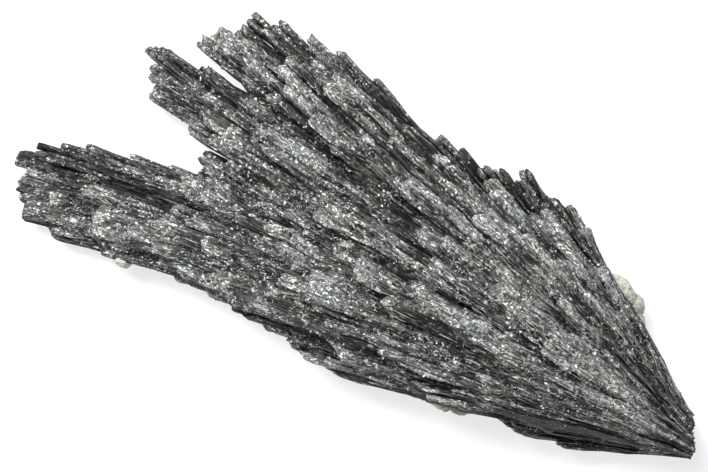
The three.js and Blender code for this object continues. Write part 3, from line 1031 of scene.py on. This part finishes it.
def quartz_tree():
    """A sugary rounded grain on every point."""
    tree, given, out = node_group("grow quartz grains", "GeometryNodeTree", {
        "Places": "Geometry", "Fineness": "Int", "Lumpiness": "Float", "Sugar Depth": "Float",
        "Sugar Grain": "Float", "Finish": "Material"}, {"Grains": "Geometry"})
    ball = Node(tree, "GeometryNodeMeshIcoSphere", {"Radius": 0.5, "Subdivisions": given["Fineness"]})[0]
    turn = Node(tree, "ShaderNodeCombineXYZ", {2: named(tree, "turn")})[0]
    grains = realized(Node(tree, "GeometryNodeInstanceOnPoints", {
        "Points": given["Places"], "Instance": ball, "Scale": named(tree, "size", "FLOAT_VECTOR"),
        "Rotation": Node(tree, "FunctionNodeEulerToRotation", {0: turn})[0]})[0])
    spot, normal = Node(tree, "GeometryNodeInputPosition")[0], Node(tree, "GeometryNodeInputNormal")[0]
    lumps = cloud(spot, 420.0, 2.5, 0.5)
    cells = Node(tree, "ShaderNodeTexVoronoi", {"Vector": spot, "Scale": given["Sugar Grain"]})["Distance"]
    rise = (lumps - 0.5) * given["Lumpiness"] - cells * given["Sugar Depth"]
    grains = Node(tree, "GeometryNodeSetPosition", {"Geometry": grains, "Offset": normal.scaled(rise)})[0]
    hand_out(out, "Grains", grains, given["Finish"])
    return tree


def grow_quartz(tree, finish):
    for node, grains in QUARTZ.items():
        grains = np.array(grains, float)
        spots = np.column_stack([APEX + grains[:, :2], grains[:, 2]]) * MM
        marks = {"size": grains[:, 3:6] * 1.08 * MM, "turn": np.radians(grains[:, 6])}
        piece = grown(
            marked_points(node + "_grains", spots, [], marks), tree, fineness=5, lumpiness=MM,
            sugar_depth=0.18 * MM, sugar_grain=2.6 / MM, finish=finish)
        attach(piece, "root")
        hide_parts(node)


# ---------------------------------------------------------------------------------------------- finishes

def attribute(tree, name, output="Fac"):
    return Node(tree, "ShaderNodeAttribute", attribute_name=name)[output]


def stretched(spot, scale):
    return Node(spot.tree, "ShaderNodeMapping", {"Vector": spot, "Scale": scale})[0]


def blended(share, first, second, how="MIX"):
    inputs = {0: share, 6: first, 7: second}
    tree = (share if isinstance(share, Field) else first).tree
    return Node(tree, "ShaderNodeMix", inputs, data_type="RGBA", blend_type=how)[2]


def tinted(colour, tint):
    return blended(1.0, colour, tint, "MULTIPLY")


def grey(value):
    return Node(value.tree, "ShaderNodeCombineColor", {0: value, 1: value, 2: value})[0]


def blank_finish(name):
    """A new finish, its tree, its shader, and where each spot of the piece lies."""
    finish = bpy.data.materials.new(name)
    finish.use_nodes = True
    tree = finish.node_tree
    return finish, tree, tree.nodes["Principled BSDF"], Node(tree, "ShaderNodeTexCoord")["Object"]


def dress(shader, looks):
    """Gives a shader its looks, as {input: value or field}."""
    for label, value in looks.items():
        join(shader.inputs[label], value)


def relief(height, distance, strength):
    inputs = {"Height": height, "Distance": distance, "Strength": strength}
    return Node(height.tree, "ShaderNodeBump", inputs)[0]


def fibre_streaks():
    """Long lines along a blade: Streak is their soft brightness, Dash marks fine bright ones, Relief is
    their height."""
    tree, given, out = node_group(
        "fibre streaks", "ShaderNodeTree",
        {"Grain": "Vector", "Lines per Metre": "Float", "Dash Share": "Float"},
        {"Streak": "Float", "Dash": "Float", "Relief": "Float"})
    grain, per_metre = given["Grain"], given["Lines per Metre"]
    broad = cloud(stretched(grain, (0.38, 0.05, 37.0)), per_metre, 2.0, 0.6)
    narrow = cloud(stretched(grain, (1.0, 0.12, 91.0)), per_metre, 2.0, 0.6)
    hair = cloud(stretched(grain, (1.4, 0.11, 61.0)), per_metre, 1.0, 0.5)
    both = broad * 0.5 + narrow * 0.5
    cut = 0.72 - given["Dash Share"] * 0.3
    out.feed("Streak", both.ramp(0.47, 0.63))
    out.feed("Dash", hair.ramp(cut, cut + 0.07))
    out.feed("Relief", both + hair * 0.4)
    return tree


def mica_grains():
    """Small bright plates: Glint marks them, Tone is each one's own shade and Relief its tilt."""
    tree, given, out = node_group(
        "mica grains", "ShaderNodeTree",
        {"Spot": "Vector", "Grains per Metre": "Float", "Coverage": "Float"},
        {"Glint": "Float", "Tone": "Float", "Relief": "Float"})
    spot, per_metre = given["Spot"], given["Grains per Metre"]
    # the plates are ragged, not round
    ragged = spot.moved(stirred(spot, per_metre * 1.3, 1.0).scaled(1.5 / per_metre))
    cells = Node(tree, "ShaderNodeTexVoronoi", {"Vector": ragged, "Scale": per_metre, "Randomness": 1.0})
    tone = Node(tree, "ShaderNodeSeparateColor", {0: cells["Color"]})
    cut = 1.0 - given["Coverage"]
    edge = cells["Distance"].ramp(0.58, 0.46)
    out.feed("Glint", tone[0].ramp(cut - 0.03, cut + 0.03) * edge)
    out.feed("Tone", tone[1].math("POWER", 1.5))
    out.feed("Relief", tone[2] * (edge + 0.2))
    return tree


def frosted_places():
    """Where mica lies thick over the fan: broken patches drawn out along the blades, thinned in the trenches
    and hollows as painted shade. Frost is from 0 to 1, Patch a finer unevenness."""
    tree, given, out = node_group(
        "frosted places", "ShaderNodeTree",
        {"Flow": "Vector", "Spot": "Vector", "Given Tone": "Float", "Amount": "Float"},
        {"Frost": "Float", "Patch": "Float"})
    drawn = stretched(given["Flow"], (1.0, 0.34, 0.8))
    middle = cloud(drawn, 640, 3.0, 0.65)
    total = cloud(drawn, 210, 3.0, 0.6).times_plus(2.4, -1.2) + middle.times_plus(3.0, -1.5)
    total = total + cloud(given["Spot"], 1500, 2.0, 0.6).times_plus(2.8, -1.4)
    total = total + given["Given Tone"] * 0.65 + given["Amount"]
    out.feed("Frost", total.ramp(-0.2, 0.75, kind="LINEAR"))
    out.feed("Patch", middle)
    return tree


def kyanite_finish(streaks, mica, frosting):
    """Black kyanite: graphite blades with fine pale lines, mica grains with painted glints, frosted places and
    painted shade.
    """
    finish, tree, shader, body = blank_finish("striated kyanite")
    grain, flow = attribute(tree, "grain", "Vector"), attribute(tree, "flow", "Vector")
    tone, seam, proud = (attribute(tree, name) for name in ("frost", "seam", "proud"))

    # frost thins where a spot lies sunk and thickens where it stands proud: painted shade in the hollows and
    # painted light on the ridges, over the mica's own frost
    frosted = Node(tree, "ShaderNodeGroup", {
        "Flow": flow, "Spot": body, "Given Tone": tone,
        "Amount": proud.ramp(-1.0, 0.9, -1.1, 0.5, kind="LINEAR")}, node_tree=frosting)
    cover, patch = frosted["Frost"], frosted["Patch"]
    # the fine bright lines are mostly near the root
    dashed = split(flow)[1].ramp(25 * MM, 65 * MM, 0.36, 0.1)
    lines = Node(tree, "ShaderNodeGroup", {
        "Grain": grain, "Lines per Metre": 2.9 / MM, "Dash Share": cover.times_plus(0.4, dashed)},
        node_tree=streaks)
    sugar = Node(tree, "ShaderNodeGroup", {
        "Spot": stretched(flow, (1.0, 0.6, 1.0)), "Grains per Metre": 3.3 / MM,
        "Coverage": cover.times_plus(0.54, 0.13)}, node_tree=mica)
    slim = Node(tree, "ShaderNodeGroup", {
        "Spot": stretched(grain, (1.0, 0.45, 53.0)), "Grains per Metre": 3.6 / MM,
        "Coverage": cover.times_plus(0.34, 0.16)}, node_tree=mica)

    colour = blended(lines["Streak"], (0.0032, 0.0031, 0.0028, 1), (0.091, 0.092, 0.084, 1))
    colour = blended(cover * 0.7, colour, (0.13, 0.136, 0.132, 1))
    colour = blended(lines["Dash"] * 0.7, colour, (0.50, 0.51, 0.49, 1))
    dim = cover.times_plus(0.64, 0.36)
    # the grains' bright colour is partly the pale mica and partly a painted glint
    slim_shade = blended(slim["Tone"] * dim, (0.0205, 0.021, 0.0185, 1), (0.95, 0.96, 0.94, 1))
    colour = blended(slim["Glint"] * 0.85, colour, slim_shade)
    sugar_shade = blended(sugar["Tone"] * dim, (0.0123, 0.0125, 0.0112, 1), (0.965, 0.965, 0.945, 1))
    colour = blended(sugar["Glint"], colour, sugar_shade)
    # some patches are bluish and some olive
    cast = cloud(stretched(flow, (1.0, 0.5, 1.0)), 420, 3.0).ramp(0.36, 0.64)
    colour = tinted(colour, blended(cast, (0.966, 1.005, 1.033, 1), (1.033, 1.0, 0.956, 1)))
    # painted shade: the colour is darkened in the dark trenches, where a spot lies below the heap's general
    # surface, and along the gaps between blades
    sunk = tone.ramp(-1.3, -0.4, 0.25, 1.0) * proud.ramp(-0.95, 0.05, 0.16, 1.0) * seam.times_plus(-0.6, 1.0)

    glint = sugar["Glint"].math("MAXIMUM", slim["Glint"])
    height = lines["Relief"] + sugar["Relief"] * glint.times_plus(0.5, 0.25) + patch * 0.8
    dress(shader, {
        "Base Color": tinted(colour, grey(sunk)),
        "Roughness": patch.times_plus(0.3, glint.times_plus(-0.15, 0.32)),
        "IOR": 1.6,
        "Specular IOR Level": 0.22,
        "Normal": relief(height, 0.0006, 1.0),
    })
    return finish


def quartz_finish(mica):
    """Pale sugary quartz with a grey-green cast and a few dark specks."""
    finish, tree, shader, body = blank_finish("sugary quartz")
    sugar = Node(tree, "ShaderNodeGroup", {
        "Spot": body, "Grains per Metre": 2.8 / MM, "Coverage": 0.5}, node_tree=mica)
    veil = cloud(body, 520, 4.0, 0.6)
    colour = blended(veil.ramp(0.35, 0.65), (0.36, 0.36, 0.31, 1), (0.47, 0.47, 0.41, 1))
    grains = blended(sugar["Tone"], (0.30, 0.305, 0.265, 1), (0.64, 0.64, 0.57, 1))
    colour = blended(sugar["Glint"] * 0.45, colour, grains)
    specks = cloud(body, 2600, 1.0).ramp(0.32, 0.38, 0.4, 1.0)
    dress(shader, {
        "Base Color": tinted(colour, grey(specks)),
        "Roughness": sugar["Tone"].times_plus(0.3, 0.25),
        "IOR": 1.54,
        "Subsurface Weight": 0.25,
        "Subsurface Radius": (0.0012, 0.0012, 0.001),
        "Subsurface Scale": 1.0,
        "Normal": relief(sugar["Relief"] + veil, 0.0002, 0.6),
    })
    return finish


def mica_finish():
    """The loose mica flakes: silvery, each with its own shade."""
    finish, tree, shader, body = blank_finish("silvery mica")
    own = Node(tree, "ShaderNodeTexWhiteNoise", {"W": attribute(tree, "cell")}, noise_dimensions="1D")[0]
    fine = cloud(body, 2600, 2.0)
    shade = (own.math("POWER", 1.6) + fine.times_plus(0.4, -0.2)).math("MULTIPLY", 1.0, clamp=True)
    dress(shader, {
        "Base Color": blended(shade, (0.04, 0.042, 0.04, 1), (0.52, 0.53, 0.51, 1)),
        "Roughness": fine.times_plus(0.25, 0.25),
        "IOR": 1.58,
        "Normal": relief(fine, 0.00008, 0.5),
    })
    return finish


SWEEP = sweep_tree()
STREAKS, MICA = fibre_streaks(), mica_grains()
KYANITE = kyanite_finish(STREAKS, MICA, frosted_places())

# ------------------------------------------------------------------------------------------------ pieces

deep = sweep("lower_blades", lay_layers("floor", "outline"), facets=12, groove=0.6, step=0.4, ragged=2.0)
raised = sweep("upper_blades", lay_layers("upper", "crest") + lay_root(), facets=14, groove=0.7, step=0.5,
               ragged=2.2)
splinters = sweep("blade_splinters", lay_splinters(), facets=8, groove=0.3, step=0.2, ragged=1.2)

top_skin = Skin([deep, raised], above=True)
long = lay_shingles(top_skin, 260, lengths=(10, 34), breadths=(1.2, 3.0), proud=(0.1, 1.0))
shingles = sweep("top_shingles", long, facets=14, groove=0.5, step=0.35, ragged=1.8)
top_skin = Skin([deep, raised, shingles], above=True)
short = lay_shingles(top_skin, 170, lengths=(5, 14), breadths=(1.0, 2.2), proud=(0.1, 0.7), step=1.0)
chips = sweep("top_chips", short, facets=12, groove=0.3, step=0.3, ragged=1.2)
landmarks = sweep("standing_blades", lay_landmarks(top_skin), facets=20, groove=0.9, step=0.6, ragged=1.6,
                  crumble=0.8)
bottom_skin = Skin([deep, raised], above=False)
hidden = lay_shingles(bottom_skin, 150, lengths=(12, 34), breadths=(1.0, 2.8), proud=(0.0, 0.4), step=1.8)
under = sweep("under_shingles", hidden, facets=10, groove=0.4, step=0.25, ragged=1.6)
crust = sweep("matted_crust", lay_crust(top_skin, 240), facets=10, groove=0.3, step=0.3, ragged=1.4,
              crumble=0.9)
fine_skin = Skin([deep, raised, landmarks, shingles, chips, crust], above=True)
fibres = sweep("loose_fibres", lay_fibres(fine_skin, 300), facets=6, groove=0.1, step=0.05, ragged=0.5)

blades = [deep, raised, splinters, landmarks, shingles, chips, crust, under, fibres]
mark_depth(blades, [fine_skin, bottom_skin])
FLAKES, SILVERY = flake_tree(), mica_finish()
flakes = scatter_flakes("mica_flakes", FLAKES, SILVERY, blades, tries=60000, breadth=0.58,
                        smallest=(0.5, 0.3, 0.2), largest=(1.0, 0.9, 0.5), seed=3)
needles = scatter_flakes("mica_needles", FLAKES, SILVERY, blades, tries=50000, breadth=0.5,
                         smallest=(0.8, 0.18, 0.15), largest=(2.2, 0.36, 0.3), seed=8)
for piece in blades + [flakes, needles]:
    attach(piece, "root")
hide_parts("kyanite_fan")
grow_quartz(quartz_tree(), quartz_finish(MICA))

# --------------------------------------------------------------------------------------- floor and light

def floor_finish():
    finish, tree, shader, body = blank_finish("pale floor")
    dress(shader, {
        "Base Color": blended(cloud(body, 9, 2.0), (0.28, 0.28, 0.28, 1), (0.30, 0.30, 0.30, 1)),
        "Roughness": 0.9,
        "Specular IOR Level": 0.1,
        "Emission Color": (1, 1, 1, 1),
        "Emission Strength": 0.74,
    })
    return finish


def lay_floor():
    reach = 2.0
    mesh = bpy.data.meshes.new("floor")
    corners = [(-reach, -reach, 0), (reach, -reach, 0), (reach, reach, 0), (-reach, reach, 0)]
    mesh.from_pydata(corners, [], [(0, 1, 2, 3)])
    mesh.materials.append(floor_finish())
    floor = bpy.data.objects.new("floor", mesh)
    bpy.context.scene.collection.objects.link(floor)


def studio_light(name, spot, size, watts):
    """A square light that shines at the fan."""
    lamp = bpy.data.lights.new(name, "AREA")
    lamp.shape = "SQUARE"
    lamp.size = size
    lamp.energy = watts
    holder = bpy.data.objects.new(name, lamp)
    bpy.context.scene.collection.objects.link(holder)
    holder.location = spot
    holder.rotation_euler = (-Vector(spot)).to_track_quat("-Z", "Y").to_euler()


def light_studio():
    scene = bpy.context.scene
    scene.view_settings.view_transform = "Standard"
    scene.world = bpy.data.worlds.new("studio")
    scene.world.use_nodes = True
    dress(scene.world.node_tree.nodes["Background"], {"Color": (1, 1, 1, 1), "Strength": 0.27})
    studio_light("key", (0.68, -0.34, 0.86), size=0.55, watts=31.0)


def aim_camera():
    """Straight down, turned so that the root is at the lower right."""
    camera_height = 0.275
    lens = bpy.data.cameras.new("camera")
    lens.lens, lens.sensor_width = 100, 36
    camera = bpy.data.objects.new("camera", lens)
    bpy.context.scene.collection.objects.link(camera)
    turn = math.radians(BREAK_BEARING)
    right = Vector((-math.cos(turn), -math.sin(turn), 0))
    up = Vector((math.sin(turn), -math.cos(turn), 0))
    back = Vector((0, 0, 1))
    spot = Vector((4.11, 1.88, 5.0)) * MM + back * camera_height
    camera.matrix_world = Matrix((
        (right.x, up.x, back.x, spot.x),
        (right.y, up.y, back.y, spot.y),
        (right.z, up.z, back.z, spot.z),
        (0, 0, 0, 1),
    ))
    bpy.context.scene.camera = camera


lay_floor()
light_studio()
aim_camera()
